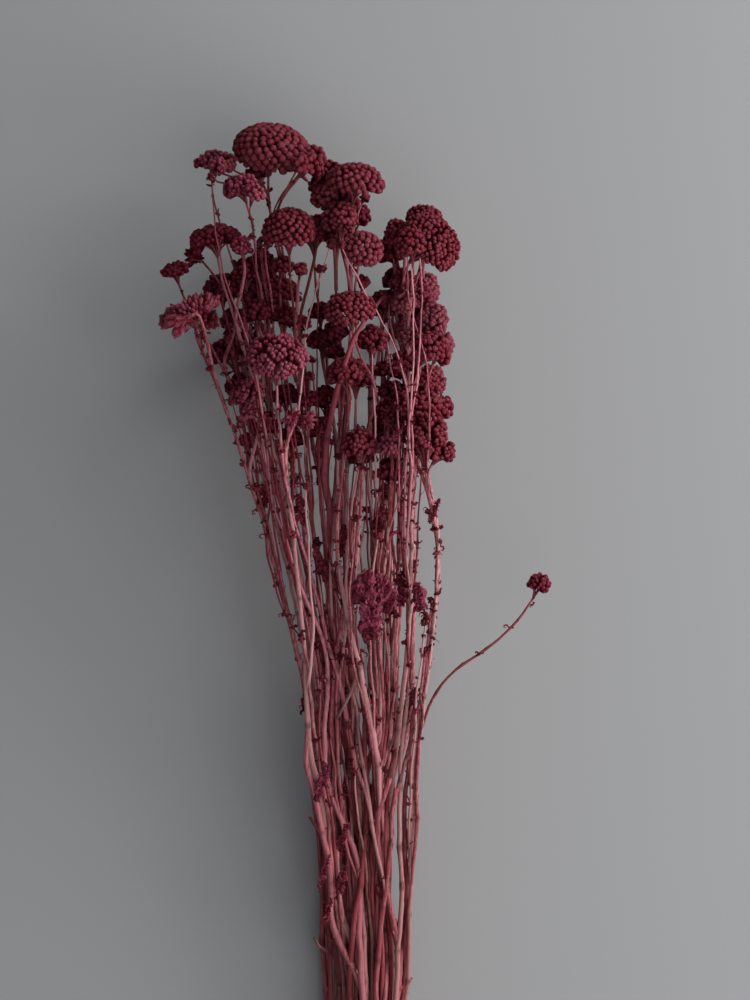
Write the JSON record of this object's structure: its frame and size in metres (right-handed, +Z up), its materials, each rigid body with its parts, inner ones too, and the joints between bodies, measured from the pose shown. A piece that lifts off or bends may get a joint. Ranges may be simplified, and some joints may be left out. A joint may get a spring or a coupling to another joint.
{
  "type": "bunch of preserved yarrow",
  "caption": "Tied bunch of dried, dyed yarrow lying down: forking woody stems that fan out to domed heads of small round buds.",
  "frame": {"origin": "on the surface that the bunch lies on, below the middle of its bounding box", "axes": "+Y along the bunch from the cut ends to the flower heads, +Z up from the surface, +X across the bunch to the right when the heads point away from the viewer"},
  "size_m": [0.1968, 0.5934, 0.117],
  "materials": {
    "stem": "dry, ribbed, dyed dusty pink-brown",
    "flower": "matte, granular, dyed wine red",
    "flower_dark": "matte, granular, dyed dark wine red",
    "flower_pink": "matte, granular, dyed dusty pink red",
    "leaf": "matte, shrivelled, dyed magenta",
    "tie": "matte twisted natural twine"
  },
  "bodies": {
    "root": {"head_back_middle": "flower_dark", "head_behind_middle": "flower_dark", "head_behind_right": "flower_dark", "head_below_crown": "flower", "head_big_right": "flower", "head_crown": "flower", "head_crown_lobe": "flower", "head_dark_left": "flower_dark", "head_dark_middle": "flower_dark", "head_drooped_right": "flower_dark", "head_facing": "flower", "head_fan_left": "flower_pink", "head_front_left": "flower_pink", "head_front_low": "flower", "head_front_middle": "flower", "head_high_left": "flower", "head_high_middle": "flower", "head_inner_right": "flower_dark", "head_low_left": "flower_pink", "head_low_middle": "flower", "head_lower_right": "flower", "head_middle_left": "flower", "head_near_middle": "flower_dark", "head_outer_left": "flower", "head_outer_right": "flower", "head_rest_left": "flower_dark", "head_rest_right": "flower_dark", "head_shaded_left": "flower_dark", "head_shaded_right": "flower_dark", "head_small_left": "flower_dark", "head_small_right": "flower_dark", "head_sprig": "flower_dark", "head_under_middle": "flower_dark", "head_upper_right": "flower_dark", "head_wide_left": "flower_dark", "leaf_lower": "leaf", "leaf_upper": "leaf", "stem_back_middle": "stem", "stem_behind_middle": "stem", "stem_big_right": "stem", "stem_crown": "stem", "stem_dark_left": "stem", "stem_facing": "stem", "stem_fan_left": "stem", "stem_front_left": "stem", "stem_front_low": "stem", "stem_front_middle": "stem", "stem_high_left": "stem", "stem_high_middle": "stem", "stem_lower_right": "stem", "stem_middle_left": "stem", "stem_outer_right": "stem", "stem_rest_left": "stem", "stem_rest_right": "stem", "stem_shaded_right": "stem", "stem_sprig": "stem", "stem_under_middle": "stem", "stem_upper_right": "stem", "stem_wide_left": "stem", "tie": "tie"}
  },
  "joints": []
}
